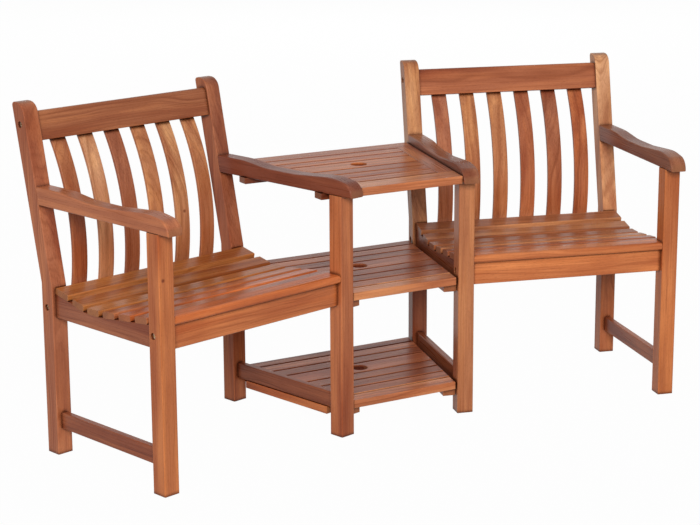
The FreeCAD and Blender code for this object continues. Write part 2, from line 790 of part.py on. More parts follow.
def spot(x, y, z, turn_by=0, axis=UP):
    """A place given by formulas, turned about an axis."""
    return FreeCAD.Placement(FreeCAD.Vector(value(x), value(y), value(z)), FreeCAD.Rotation(axis, turn_by))


def upright(x, y, z):
    """A screw's place, driven from below."""
    return spot(x, y, z, -90, BACK)


def chair_fasteners(name, placement):
    bolts, nuts = [], []
    for y, z in (CREST_BOLT, RAIL_BOLT, APRON_BOLT):
        bolts.append(spot("chair_width / 2 - counterbore_deep", y, z, 180))
        bolts.append(spot("counterbore_deep - chair_width / 2", y, z))
        nuts.append(spot("%s - nut_in" % INNER_X, y, z))
        nuts.append(spot("nut_in - %s" % INNER_X, y, z))
    copies(name + "_frame_bolts", bolt_pattern(), bolts, placement)
    copies(name + "_barrel_nuts", nut_pattern(), nuts, placement)
    screws = [upright(x, NOSING_SCREW_Y, NOSING_SCREW_LOW) for x in NOSING_SCREWS]
    for y, height in slat_screws():
        for x in ("-(%s)" % FRAME_X, FRAME_X):
            screws.append(upright(x, y, "%s + screw_bite - long_screw" % height))
    copies(name + "_seat_screws", screw_pattern("long_screw_pattern", "long_screw"), screws, placement)


def chair(name, placement):
    """The left chair. Its inner side faces the table."""
    for word, side in (("inner", 1), ("outer", -1)):
        shift = FreeCAD.Placement(FreeCAD.Vector(side * value(FRAME_X), 0, 0), FreeCAD.Rotation())
        frame = placement.multiply(shift)
        rear_post("%s_%s_rear_post" % (name, word), side, frame)
        front_leg("%s_%s_front_leg" % (name, word), side, frame)
        arm("%s_%s_arm" % (name, word), side, frame)
        side_rail("%s_%s_side_rail" % (name, word), side, frame)
        stretcher("%s_%s_stretcher" % (name, word), side, frame)
    crest_rail(name + "_crest_rail", placement)
    rear_rail(name + "_rear_rail", placement)
    front_apron(name + "_front_apron", placement)
    seat_nosing(name + "_seat_nosing", placement)
    group(name + "_back_slats", [back_slat("back_slat_%d" % i, i) for i in BACK_SLATS], placement)
    group(name + "_seat_slats", [seat_slat("seat_slat_%d" % i, i) for i in SEAT_SLATS], placement)
    chair_fasteners(name, placement)


# The table

def trapezoid(rear, front, gap):
    """Ends cut in line with the chairs."""
    rear_half, front_half = half_at(rear, gap), half_at(front, gap)
    return [("-" + front_half, front), (front_half, front), (rear_half, rear), ("-" + rear_half, rear)]


def flat_rim(low, thick):
    """A test for the level edges of a board."""
    heights = (value(low), value("%s + %s" % (low, thick)))

    def test(edge):
        level = edge.BoundBox.ZLength < TINY
        return level and min(abs(edge.CenterOfMass.z - z) for z in heights) < TINY
    return test


def plank(label, corners, low, thick):
    """A flat board with softened rims."""
    body = new_body(label)
    pad(body, "XY_Plane", corners, thick, "%s + %s / 2" % (low, thick))
    round_edges(body, flat_rim(low, thick), "slat_arris")
    return body


def parasol_hole(body, low, thick):
    ends = ("%s - %s" % (low, PAST), "%s + %s + %s" % (low, thick, PAST))
    drill(body, "XY_Plane", [("0", "table_middle")], "parasol_hole", *ends)
    rim = value("parasol_hole") / 2

    def on_rim(edge):
        round_edge = edge.isClosed() and edge.Curve.TypeId == "Part::GeomCircle"
        return round_edge and abs(edge.Curve.Radius - rim) < TINY
    round_edges(body, on_rim, "slat_arris")


def board_edges(rear, front, pitch, centre_width, gap):
    """Rear and front edge of each board, from the rear of the table to its front."""
    edges = []
    first = "(table_middle + %s / 2 + %s / 2)" % (centre_width, gap)
    last = "(table_middle - %s / 2 - %s / 2)" % (centre_width, gap)
    for i in range(BOARDS_BEHIND, 0, -1):
        edges.append(("%s + %d * %s - %s / 2" % (first, i, pitch, gap),
                      "%s + %d * %s + %s / 2" % (first, i - 1, pitch, gap)))
    edges.insert(0, (rear, "%s + %d * %s + %s / 2" % (first, BOARDS_BEHIND, pitch, gap)))
    edges.append(("%s - %s / 2" % (first, gap), "%s + %s / 2" % (last, gap)))
    for i in range(BOARDS_AHEAD):
        edges.append(("%s - %d * %s - %s / 2" % (last, i, pitch, gap),
                      "%s - %d * %s + %s / 2" % (last, i + 1, pitch, gap)))
    edges.append(("%s - %d * %s - %s / 2" % (last, BOARDS_AHEAD, pitch, gap), front))
    return edges


TONGUE_HEIGHT = "(arm_height + top_thick / 2)"


def end_board(label, corners, inner_y, inward, placement):
    """The rear or front board of the table top, grooved for the tongues of the side boards."""
    body = plank(label, corners, "arm_height", "top_thick")
    for sign in ("", "-"):
        outer = half_at(inner_y, "arm_gap + side_board_shoulder")
        inner = half_at(inner_y, "arm_gap + side_board_width - side_board_shoulder")
        a, b = "%s(%s + fit)" % (sign, outer), "%s(%s - fit)" % (sign, inner)
        deep = "%s + %d * (tongue + fit)" % (inner_y, inward)
        slot = [(a, inner_y), (b, inner_y), (b, deep), (a, deep)]
        mortise(body, "XY_Plane", slot, "tongue_thick + 2 * fit", TONGUE_HEIGHT)
    keep(body, label, placement)


def side_board(label, rear, front, placement):
    """Closes the left end of the slats, which enter a groove along its inner edge."""
    ends = ("arm_gap", "arm_gap + side_board_width")
    corners = [("-" + half_at(rear, ends[0]), rear), ("-" + half_at(rear, ends[1]), rear),
               ("-" + half_at(front, ends[1]), front), ("-" + half_at(front, ends[0]), front)]
    body = plank(label, corners, "arm_height", "top_thick")
    inner = "arm_gap + side_board_width"
    mouth, bottom = "%s - " % PAST, inner + " - tongue - fit"
    groove = [(mouth + half_at(rear, inner), rear), (mouth + half_at(front, inner), front),
              ("-" + half_at(front, bottom), front), ("-" + half_at(rear, bottom), rear)]
    mortise(body, "XY_Plane", groove, "tongue_thick + 2 * fit", TONGUE_HEIGHT)
    for edge_y, past in ((rear, "tongue"), (front, "-tongue")):
        start = half_at(edge_y, "arm_gap + side_board_shoulder")
        end = half_at(edge_y, "arm_gap + side_board_width - side_board_shoulder")
        back = "%s - (%s)" % (edge_y, past)
        tip = "%s + %s" % (edge_y, past)
        pad(body, "XY_Plane", [("-" + start, back), ("-" + end, back), ("-" + end, tip), ("-" + start, tip)],
            "tongue_thick", TONGUE_HEIGHT)
    spots = [("-" + half_at(middle, BOARD_SCREW_GAP), middle) for middle in BEARERS]
    pilot_holes(body, spots, "arm_height", BEARER_SCREW_BITE)
    keep(body, label, placement)
    return body


def top_slat(label, rear, front):
    """A board of the table top, with a tongue at each end."""
    corners = trapezoid(rear, front, "arm_gap + side_board_width + fit")
    body = plank(label, corners, "arm_height", "top_thick")
    low, high = "%s + side_board_shoulder" % front, "%s - side_board_shoulder" % rear
    tongues = trapezoid(high, low, "arm_gap + side_board_width - tongue")
    pad(body, "XY_Plane", tongues, "tongue_thick", TONGUE_HEIGHT)
    return body


def table_top(placement):
    edges = board_edges("top_rear", "top_front", "top_pitch", "top_centre_width", "board_gap")
    rear, front = edges[0], edges[-1]
    end_board("table_rear_board", trapezoid(rear[0], rear[1], "arm_gap"), rear[1], 1, placement)
    end_board("table_front_board", trapezoid(front[0], front[1], "arm_gap"), front[0], -1, placement)
    side = side_board("table_left_side_board", "%s - fit" % rear[1], "%s + fit" % front[0], placement)
    mirror("table_right_side_board", side)
    centre = top_slat("centre_board", *edges.pop(CENTRE_BOARD))
    parasol_hole(centre, "arm_height", "top_thick")
    keep(centre, "table_centre_board", placement)
    group("table_top_slats", [top_slat("top_slat", a, b) for a, b in edges[1:-1]], placement)


def bearer(label, middle, placement):
    """Carries the table top between the inner arms of the chairs, screwed up into both."""
    body = new_body(label)
    half = half_at(middle, "-bearer_reach")
    low = "(arm_height - bearer_thick)"
    pad(body, "XZ_Plane", rectangle("-%s" % half, half, low, "arm_height"), "bearer_width", "-(%s)" % middle)
    top = value("arm_height") - TINY
    round_edges(body, lambda e: e.CenterOfMass.z < top, "arris")
    spots = [(x, y) for x, y, _ in bearer_screws(middle)]
    screw_holes(body, spots, BEARER_SCREW_LOW, "arm_height", low)
    keep(body, label, placement)


def bearer_screws(middle):
    """One up into each arm and one up into each side board."""
    places = []
    for gap in (ARM_SCREW_GAP, BOARD_SCREW_GAP):
        x = half_at(middle, gap)
        places += [(x, middle, BEARER_SCREW_LOW), ("-" + x, middle, BEARER_SCREW_LOW)]
    return places


SHELF_HEIGHTS = {"mid": "rail_low", "low": "stretcher_low"}


def shelf_edges():
    return board_edges("shelf_rear", "shelf_front", "shelf_pitch", "shelf_centre_width", "shelf_gap")


def board_screw_lines():
    """Y of the two screws of each shelf board, which come up through the battens."""
    return ["((%s) + (%s)) / 2" % edges for edges in shelf_edges()]


def shelf(name, low, placement):
    boards = []
    for rear, front in shelf_edges():
        board = plank(name + "_board", trapezoid(rear, front, "shelf_end_gap"), low, "shelf_thick")
        boards.append(board)
    for board, y in zip(boards, board_screw_lines()):
        x = half_at(y, SHELF_SCREW_GAP)
        pilot_holes(board, [(x, y), ("-" + x, y)], low, BATTEN_SCREW_BITE)
    centre = boards.pop(CENTRE_BOARD)
    parasol_hole(centre, low, "shelf_thick")
    keep(centre, name + "_shelf_centre_board", placement)
    group(name + "_shelf_slats", boards, placement)


def batten(label, low, placement):
    """A flat board, partly under the shelf's ends and partly under the left chair's inner side frame."""
    body = new_body(label)
    edge = "(chair_width / 2)"
    inner, step, outer = "%s + batten_inner" % edge, "%s + arm_gap" % edge, "%s - batten_outer" % edge
    corners = [(inner, "-batten_front"), (inner, "-batten_rear"), (step, "-batten_rear"),
               (step, "-batten_notch_rear"), (outer, "-batten_notch_rear"),
               (outer, "-batten_notch_front"), (step, "-batten_notch_front"), (step, "-batten_front")]
    pad(body, "XY_Plane", corners, "batten_thick", "%s - batten_thick / 2" % low)
    round_edges(body, flat_rim("%s - batten_thick" % low, "batten_thick"), "slat_arris")
    head = "%s - batten_thick" % low
    spots = [(FRAME_X, y) for _, y in batten_screw_spots()]
    spots += [beside(y, SHELF_SCREW_GAP) for y in board_screw_lines()]
    screw_holes(body, spots, head, low, head)
    keep(body, label, placement)
    return body


def finish():
    """Put the origin on the ground in the middle of the seat's width and depth, check and write."""
    doc.recompute()
    things = nodes + images
    reach = [thing.Shape.optimalBoundingBox(False) for thing in things]
    middle = (min(box.YMin for box in reach) + max(box.YMax for box in reach)) / 2
    for node in nodes:
        node.Placement.Base.y -= middle
    doc.recompute()
    print("middle of the depth", round(middle, 3))
    failed = [o.Label for o in doc.Objects if "Invalid" in o.State or "Error" in o.State]
    failed += [t.Label for t in things if t.Shape.isNull() or not t.Shape.isValid()]
    if failed:
        raise SystemExit("These failed: " + ", ".join(failed))
    os.makedirs("parts", exist_ok=True)
    for thing in things:
        thing.Shape.exportStep("parts/%s.step" % thing.Label)
        print(thing.Label, len(thing.Shape.Solids), round(thing.Shape.Volume / 1000, 1))


left_place = spot("-rear_gap / 2 - chair_width / 2 * cos(chair_turn)", "-chair_width / 2 * sin(chair_turn)",
                  "0", value("chair_turn"))
ground = FreeCAD.Placement()
chair("left", left_place)
for node in list(nodes):
    mirror(node.Label.replace("left", "right"), node)
table_top(ground)
table_screws = []
for middle in BEARERS:
    bearer("table_" + middle, middle, ground)
    table_screws += [upright(x, y, z) for x, y, z in bearer_screws(middle)]
batten_screws = []
for name, low in SHELF_HEIGHTS.items():
    shelf(name, low, ground)
    mirror("right_%s_batten" % name, batten("left_%s_batten" % name, low, left_place))
    head = "%s - batten_thick" % low
    for y in board_screw_lines():
        x = half_at(y, SHELF_SCREW_GAP)
        table_screws += [upright(x, y, head), upright("-" + x, y, head)]
    batten_screws += [upright(FRAME_X, y, head) for _, y in batten_screw_spots()]
short_screw = screw_pattern("screw_pattern", "screw_length")
copies("table_screws", short_screw, table_screws, ground)
copies("left_batten_screws", short_screw, batten_screws, left_place)
mirror("right_batten_screws", nodes[-1])
finish()
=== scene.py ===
"""Looks of a companion seat bench: two slatted hardwood armchairs and the three-tier table between them."""

import math
import random

import bpy
from mathutils import Euler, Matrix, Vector

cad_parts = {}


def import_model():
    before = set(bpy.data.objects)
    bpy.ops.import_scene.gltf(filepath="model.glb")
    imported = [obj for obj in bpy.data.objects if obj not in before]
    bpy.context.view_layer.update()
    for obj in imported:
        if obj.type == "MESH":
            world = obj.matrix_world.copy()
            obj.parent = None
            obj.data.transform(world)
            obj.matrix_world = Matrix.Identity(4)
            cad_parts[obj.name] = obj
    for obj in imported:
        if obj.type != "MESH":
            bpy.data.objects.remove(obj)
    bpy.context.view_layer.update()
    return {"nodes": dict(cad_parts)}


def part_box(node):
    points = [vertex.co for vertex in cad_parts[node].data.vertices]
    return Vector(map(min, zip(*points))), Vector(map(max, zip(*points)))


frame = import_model()
nodes = frame["nodes"]

# Sizes in metres and degrees, and counts
MM = 0.001
TURN = 15  # each chair is turned in by this angle
BACK_SLATS = 6
BACK_SLAT_PITCH = 83.9 * MM
SEAT_SLATS = 6
SEAT_SLAT_PITCH = 62.3 * MM
TOP_PITCH = 55.5 * MM
TOP_CENTRE_PITCH = 84 * MM
SHELF_PITCH = 52.5 * MM
SHELF_CENTRE_PITCH = 78 * MM
BOARDS_BEHIND = 2  # seams behind and ahead of the centre board's own two
BOARDS_AHEAD = 3

# The photograph's camera, with the origin on the ground in the middle of the seat
CAMERA_PLACE = (-2.3937, -4.0741, 1.5859)
CAMERA_YAW = 30.945
CAMERA_DOWN = 12.641
LENS = 93.1
SHIFT = (-0.0563, -0.0633)

# The studio, in metres and watts. Its white is 1 for the camera, and less where it is reflected.
FLOOR_SIZE = 60
FLOOR_PAPER = "#B4B4B4"
FLOOR_WHITENED = 0.98  # the rest shows the paper and its shadow
FLOOR_REFLECTED = 0.55
WORLD_LIGHT = 0.24
WORLD_REFLECTED = 0.6
LAMP_AIM = (0, 0, 0.4)
KEY_PLACE, KEY_SIZE = (-4.9, -8.5, 5), (5, 4)
KEY_POWER, KEY_SOFT_POWER = 350, 530
REAR_PLACE, REAR_SIZE, REAR_POWER = (5, 8.5, 3.2), (5, 3), 460


def linear(code):
    """An sRGB hex colour as linear RGBA."""
    channels = [int(code[i:i + 2], 16) / 255 for i in (1, 3, 5)]
    return [c / 12.92 if c <= 0.04045 else ((c + 0.055) / 1.055) ** 2.4 for c in channels] + [1]


def add(tree, kind, inputs=None, stops=None, **settings):
    """One shader node. An input is a value or a node's socket, and stops are a ramp's places and colours."""
    made = tree.nodes.new("ShaderNode" + kind)
    for key, setting in settings.items():
        setattr(made, key, setting)
    for socket, given in (inputs or {}).items():
        if isinstance(given, bpy.types.NodeSocket):
            tree.links.new(given, made.inputs[socket])
        else:
            made.inputs[socket].default_value = given
    if stops:
        elements = made.color_ramp.elements
        while len(elements) < len(stops):
            elements.new(1)
        for element, (place, colour) in zip(elements, stops):
            element.position = place
            element.color = colour
    return made


def new_material(name):
    """A material with no nodes yet, and its tree."""
    material = bpy.data.materials.new(name)
    material.use_nodes = True
    material.node_tree.nodes.clear()
    return material, material.node_tree


WHITE = (1, 1, 1, 1)
SHARE, FIRST, SECOND, MIXED = 0, 6, 7, 2  # a Mix node's sockets for colours

# Grain directions: each turns a piece's long axis onto X
ALONG = {
    "left_across": Euler((0, 0, math.radians(-TURN))),
    "left_depth": Euler((0, 0, math.radians(-TURN - 90))),
    "right_across": Euler((0, 0, math.radians(TURN))),
    "right_depth": Euler((0, 0, math.radians(TURN - 90))),
    "across": Euler((0, 0, 0)),
    "upright": Euler((0, math.radians(90), 0)),
}

# Tones of the oiled wood, from sapwood to heartwood
PALE = "#E5A87C"
GOLD = "#DB9E6F"
HONEY = "#E79C6D"
TAN = "#CF8B5E"
AMBER = "#DF8752"
FLAME = "#DA7944"
ORANGE = "#CE7A49"
CLAY = "#C6764C"
HAZEL = "#C47942"
RED = "#BF7450"
ROSE = "#C07C5D"
CAMEL = "#C27C53"
CHESTNUT = "#B46F4A"
RUST = "#AE694A"
NUT = "#A16549"
BROWN = "#9C593C"
UMBER = "#8B4B35"
DARK = "#7F442D"
END_GRAIN = "#96603F"

# The wood's patterns, in spots a metre: along the grain, and across it both ways
FIBRES = (5, 330, 330)  # 200 mm long and 3 mm wide
PATCHES = (1.8, 15, 15)  # of heartwood, 500 mm by 60 mm
STREAKS = (2.8, 45, 45)  # of golden wood, 350 mm by 20 mm
CLOUDS = (6, 16, 16)  # lighter and darker, 150 mm by 60 mm
PORES = (120, 1200, 1200)  # 8 mm by 0.8 mm, drawn larger than real ones so that they show
WANDERING = (2.4, 9, 9)  # of the growth rings, 400 mm by 110 mm
RING_WANDER = 60 * MM
RING_LINES, FINE_LINES = 16 * MM, 4 * MM  # from one dark line of the rings to the next, about
HEART_NEAR, HEART_FAR = 0.03, 0.12  # from a piece's middle to the heart of its log
LOG_END = 5  # how far along its log a piece may lie, each way
NEXT_LOG = (7, 0.16, 0.16)  # how far off the log of another board is, at most
RAGGED = 0.3  # how far the streaks carry the colour painted lower down, up and down

# What the parts of the pattern multiply the tone by
GOLDEN = (1.22, 1.28, 1.22, 1)
HEARTWOOD = (0.72, 0.55, 0.48, 1)
RING, RING_EDGE = (0.62, 0.49, 0.4, 1), (0.9, 0.84, 0.79, 1)
FINE_RING = (0.62, 0.5, 0.42, 1)
FIBRE = (0.7, 0.6, 0.52, 1)
CLOUD = (0.77, 0.65, 0.57, 1)
PORE = (0.5, 0.4, 0.35, 1)
# what real knots, and the painted shade in a parasol hole, multiply the wood by
DARK_SPOT = (0.4, 0.26, 0.2, 1)
# painted highlight: what long edges are multiplied by, so that they look lit
EDGE_HIGHLIGHT = (1.25, 1.35, 1.4, 1)
# painted shade: what the wood in seams, joints and holes is multiplied by
SEAM_SHADE = (0.22, 0.155, 0.125, 1)

# width of the painted highlight along long edges
EDGE_HIGHLIGHT_WIDTH = 3 * MM
SEAM_REACH = 12 * MM  # painted shade darkens the wood where other wood is nearer than this
GRAIN_DEPTH = 0.3 * MM
OILED_IOR = 1.36

# Tones of the zinc plating
ZINC = "#CDB998"
BRIGHT_ZINC = "#F4E6CC"


def middle_of(name):
    """The middle of a node's box."""
    low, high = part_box(name)
    return (Vector(low) + Vector(high)) / 2


class Boards:
    """Seams between the boards of one node, as places along one direction of the plan."""

    def __init__(self, turned, axis, seams):
        self.turn = Euler((0, 0, math.radians(turned)))
        self.axis = axis
        self.seams = seams


def even_boards(name, turned, axis, count, pitch):
    """Boards of one pitch about the middle of their node."""
    middle = middle_of(name)
    middle.rotate(Euler((0, 0, math.radians(turned))))
    first = middle["XY".index(axis)] - (count / 2 - 1) * pitch
    return Boards(turned, axis, [first + i * pitch for i in range(count - 1)])


def table_boards(centre_board, centre_pitch, pitch):
    """Boards behind and ahead of a wider centre board."""
    middle = middle_of(centre_board).y
    ahead = [middle - centre_pitch / 2 - i * pitch for i in reversed(range(BOARDS_AHEAD + 1))]
    behind = [middle + centre_pitch / 2 + i * pitch for i in range(BOARDS_BEHIND + 1)]
    return Boards(0, "Y", ahead + behind)


def pick(tree, where, boards, colours):
    """One colour for each board, from a stepped ramp across the seams."""
    start, end = boards.seams[0] - 1, boards.seams[-1] + 1
    turned = add(tree, "Mapping", {"Vector": where, "Rotation": boards.turn})
    split = add(tree, "SeparateXYZ", {"Vector": turned.outputs["Vector"]})
    share = add(tree, "MapRange", {"Value": split.outputs[boards.axis], "From Min": start, "From Max": end})
    places = [0] + [(seam - start) / (end - start) for seam in boards.seams]
    ramp = add(tree, "ValToRGB", {"Fac": share.outputs[0]}, stops=list(zip(places, colours)))
    ramp.color_ramp.interpolation = "CONSTANT"
    return ramp.outputs["Color"]


def lay_grain(tree, where, name, along, chance, boards):
    """Coordinates with X along the grain and the log's heart near 0 in Y and Z, a new log for each board."""
    middle = middle_of(name)
    middle.rotate(ALONG[along])
    reach = chance.uniform(HEART_NEAR, HEART_FAR)
    around = chance.uniform(0, 2 * math.pi)
    start = chance.uniform(-LOG_END, LOG_END)
    heart = Vector((start, reach * math.cos(around), reach * math.sin(around)))
    turned = add(tree, "Mapping", {"Vector": where, "Rotation": ALONG[along], "Location": heart - middle})
    laid = turned.outputs["Vector"]
    if boards:
        hops = [(chance.random(), chance.random(), chance.random(), 1) for _ in range(len(boards.seams) + 1)]
        hop = pick(tree, where, boards, hops)
        far = add(tree, "VectorMath", {0: hop, 1: NEXT_LOG}, operation="MULTIPLY")
        laid = add(tree, "VectorMath", {0: laid, 1: far.outputs[0]}, operation="ADD").outputs[0]
    return laid


def spots(tree, laid, pattern, detail=2, roughness=0.5):
    """Soft spots from 0 to 1, drawn out along the grain."""
    drawn = add(tree, "VectorMath", {0: laid, 1: pattern}, operation="MULTIPLY").outputs[0]
    made = add(tree, "TexNoise", {"Vector": drawn, "Scale": 1, "Detail": detail, "Roughness": roughness})
    return made.outputs["Fac"]


def growth_rings(tree, laid):
    """The distance from the heart of the log, which wanders by some centimetres along the grain."""
    flat = add(tree, "VectorMath", {0: laid, 1: (0, 1, 1)}, operation="MULTIPLY")
    radius = add(tree, "VectorMath", {0: flat.outputs[0]}, operation="LENGTH").outputs["Value"]
    wander = spots(tree, laid, WANDERING)
    return add(tree, "Math", {0: wander, 1: RING_WANDER, 2: radius}, operation="MULTIPLY_ADD").outputs[0]


def ring_lines(tree, rings, apart):
    """Uneven lines along the growth rings, apart from each other by about this much."""
    lines = add(tree, "Math", {0: rings, 1: 1 / apart}, operation="MULTIPLY")
    drawn = add(tree, "TexNoise", {"W": lines.outputs[0], "Scale": 1, "Detail": 1.5, "Roughness": 0.5},
                noise_dimensions="1D")
    return drawn.outputs["Fac"]


def draw_grain(tree, laid):
    """The patterns of the wood, each from 0 to 1, from the growth rings to the pores."""
    rings = growth_rings(tree, laid)
    return {
        "lines": ring_lines(tree, rings, RING_LINES),
        "fine_lines": ring_lines(tree, rings, FINE_LINES),
        "fibres": spots(tree, laid, FIBRES, detail=3, roughness=0.6),
        "patches": spots(tree, laid, PATCHES),
        "streaks": spots(tree, laid, STREAKS),
        "clouds": spots(tree, laid, CLOUDS),
        "pores": spots(tree, laid, PORES, detail=0),
    }


def paint_lower_shading(tree, where, streaks, wood, lower_shading):
    """The wood of an upright piece, which turns to another colour lower down with a ragged edge: painted
    shade and light near the seat.
    """
    tone, share, start, end = lower_shading
    height = add(tree, "SeparateXYZ", {"Vector": where}).outputs["Z"]
    uneven = add(tree, "Math", {0: streaks, 1: RAGGED, 2: height}, operation="MULTIPLY_ADD").outputs[0]
    lower = add(tree, "MapRange", {"Value": uneven, "From Min": end + RAGGED / 2,
                                   "From Max": start + RAGGED / 2, "To Max": share}).outputs[0]
    mixed = add(tree, "Mix", {SHARE: lower, FIRST: wood, SECOND: linear(tone)}, data_type="RGBA")
    return mixed.outputs[MIXED]


def grain_tints(tree, grain, figure):
    """The tints of the wood's patterns, each with its share."""
    golden = add(tree, "MapRange", {"Value": grain["streaks"], "From Min": 0.47, "From Max": 0.62})
    hearted = add(tree, "MapRange", {"Value": grain["patches"], "From Min": 0.48, "From Max": 0.66})
    lined = add(tree, "ValToRGB", {"Fac": grain["lines"]},
                stops=[(0.28, RING), (0.45, RING_EDGE), (0.58, WHITE)])
    fine_shown = add(tree, "MapRange", {"Value": grain["clouds"], "From Min": 0.4, "From Max": 0.62,
                                        "To Max": 0.55 * figure})
    fine_lined = add(tree, "ValToRGB", {"Fac": grain["fine_lines"]}, stops=[(0.3, FINE_RING), (0.52, WHITE)])
    streaked = add(tree, "ValToRGB", {"Fac": grain["fibres"]}, stops=[(0.34, FIBRE), (0.56, WHITE)])
    clouded = add(tree, "ValToRGB", {"Fac": grain["clouds"]}, stops=[(0.32, CLOUD), (0.6, WHITE)])
    open_pores = add(tree, "MapRange", {"Value": grain["pores"], "From Min": 0.6, "From Max": 0.75,
                                        "To Max": 0.35})
    return [
        (golden.outputs[0], GOLDEN),
        (hearted.outputs[0], HEARTWOOD),
        (0.65 * figure, lined.outputs["Color"]),
        (fine_shown.outputs[0], fine_lined.outputs["Color"]),
        (0.45, streaked.outputs["Color"]),
        (0.65, clouded.outputs["Color"]),
        (open_pores.outputs[0], PORE),
    ]


def dark_spot_tint(tree, where, centre, dark, reach):
    """A round dark place, a real knot and in a parasol hole a painted shade, with the radii of the dark and
    of all.
    """
    off = add(tree, "VectorMath", {0: where, 1: centre}, operation="DISTANCE").outputs["Value"]
    inside = add(tree, "MapRange", {"Value": off, "From Min": reach, "From Max": dark})
    return inside.outputs[0], DARK_SPOT


def painted_edge_highlights(tree):
    """Long edges are made a little paler: a painted highlight along the arrises."""
    true_normal = add(tree, "NewGeometry").outputs["Normal"]
    bevelled = add(tree, "Bevel", {"Radius": EDGE_HIGHLIGHT_WIDTH}, samples=4).outputs[0]
    alike = add(tree, "VectorMath", {0: true_normal, 1: bevelled}, operation="DOT_PRODUCT").outputs["Value"]
    highlighted = add(tree, "MapRange", {"Value": alike, "From Min": 0.995, "From Max": 0.85})
    return highlighted.outputs[0], EDGE_HIGHLIGHT


def painted_seam_shade(tree):
    """Painted shade: the wood is darkened in the seams, joints and holes, where other wood is near."""
    open_air = add(tree, "AmbientOcclusion", {"Distance": SEAM_REACH}, samples=6)
    shaded = add(tree, "MapRange", {"Value": open_air.outputs["AO"], "From Min": 0.88, "From Max": 0.56})
    return shaded.outputs[0], SEAM_SHADE


def end_grain(tree, facing, along, wood):
    """The sawn ends are duller and a little pinker."""
    axis = ALONG[along].to_matrix().inverted() @ Vector((1, 0, 0))
    across = add(tree, "VectorMath", {0: facing, 1: axis}, operation="DOT_PRODUCT").outputs["Value"]
    size = add(tree, "Math", {0: across}, operation="ABSOLUTE").outputs[0]
    ends = add(tree, "MapRange", {"Value": size, "From Min": 0.85, "From Max": 0.97, "To Max": 0.6})
    mixed = add(tree, "Mix", {SHARE: ends.outputs[0], FIRST: wood, SECOND: linear(END_GRAIN)},
                data_type="RGBA")
    return mixed.outputs[MIXED]


def oiled_hardwood(name, along, tones, seed, boards=None, lower_shading=None, dark_spots=(), figure=1):
    """Planed tropical hardwood under a satin oil: warm orange to red brown, with soft bands and fine fibres.

    tones are the colours of the boards. The lower colour, painted shade and light near the seat, is the
    colour that an upright piece turns to lower down, how much of it, and the heights between which it does.
    The dark places are real knots and the painted shade in a parasol hole: a centre, and the radii of the
    dark and of all. figure is how plainly the growth rings show.
    """
    material, tree = new_material("oiled_hardwood_" + name)
    place = add(tree, "TexCoord")
    where = place.outputs["Object"]
    laid = lay_grain(tree, where, name, along, random.Random(seed), boards)
    grain = draw_grain(tree, laid)

    wood = linear(tones[0])
    if boards:
        wood = pick(tree, where, boards, [linear(tone) for tone in tones])
    # painted shade and light lower down on upright pieces
    if lower_shading:
        wood = paint_lower_shading(tree, where, grain["streaks"], wood, lower_shading)
    tints = grain_tints(tree, grain, figure)
    # real knots, and the painted shade in a parasol hole
    tints += [dark_spot_tint(tree, where, *spot) for spot in dark_spots]
    # a painted highlight along long edges
    # painted shade in seams, joints and holes
    tints += [painted_edge_highlights(tree), painted_seam_shade(tree)]
    for share, colour in tints:
        mixed = add(tree, "Mix", {SHARE: share, FIRST: wood, SECOND: colour}, data_type="RGBA",
                    blend_type="MULTIPLY")
        wood = mixed.outputs[MIXED]
    wood = end_grain(tree, place.outputs["Normal"], along, wood)

    rough = add(tree, "MapRange", {"Value": grain["fibres"], "From Min": 0.3, "From Max": 0.7,
                                   "To Min": 0.24, "To Max": 0.36})
    height = add(tree, "Math", {0: grain["lines"], 1: grain["fibres"]}, operation="ADD")
    relief = add(tree, "Bump", {"Height": height.outputs[0], "Strength": 0.12, "Distance": GRAIN_DEPTH})
    surface = add(tree, "BsdfPrincipled", {"Base Color": wood, "Roughness": rough.outputs[0],
                                           "IOR": OILED_IOR, "Normal": relief.outputs[0]})
    add(tree, "OutputMaterial", {"Surface": surface.outputs[0]})
    return material


def zinc_plated_steel():
    """Bolts, nuts and screws: rolled steel under yellow zinc, a warm tan metal of a blotched brightness."""
    material, tree = new_material("zinc_plated_steel")
    where = add(tree, "TexCoord").outputs["Object"]
    # blotches of 2.5 mm
    blotch = add(tree, "TexNoise", {"Vector": where, "Scale": 400, "Detail": 3}).outputs["Fac"]
    colour = add(tree, "ValToRGB", {"Fac": blotch}, stops=[(0.3, linear(ZINC)), (0.7, linear(BRIGHT_ZINC))])
    rough = add(tree, "MapRange", {"Value": blotch, "To Min": 0.25, "To Max": 0.45})
    surface = add(tree, "BsdfPrincipled", {"Base Color": colour.outputs[0], "Roughness": rough.outputs[0],
                                           "Metallic": 1})
    add(tree, "OutputMaterial", {"Surface": surface.outputs[0]})
    return material


def dress(name, material):
    """Gives a CAD node its material."""
    mesh = nodes[name].data
    mesh.materials.clear()
    mesh.materials.append(material)


SIDES = ("left", "right")
TIERS = ("mid", "low")
CHAIR_TURNS = {"left": -TURN, "right": TURN}
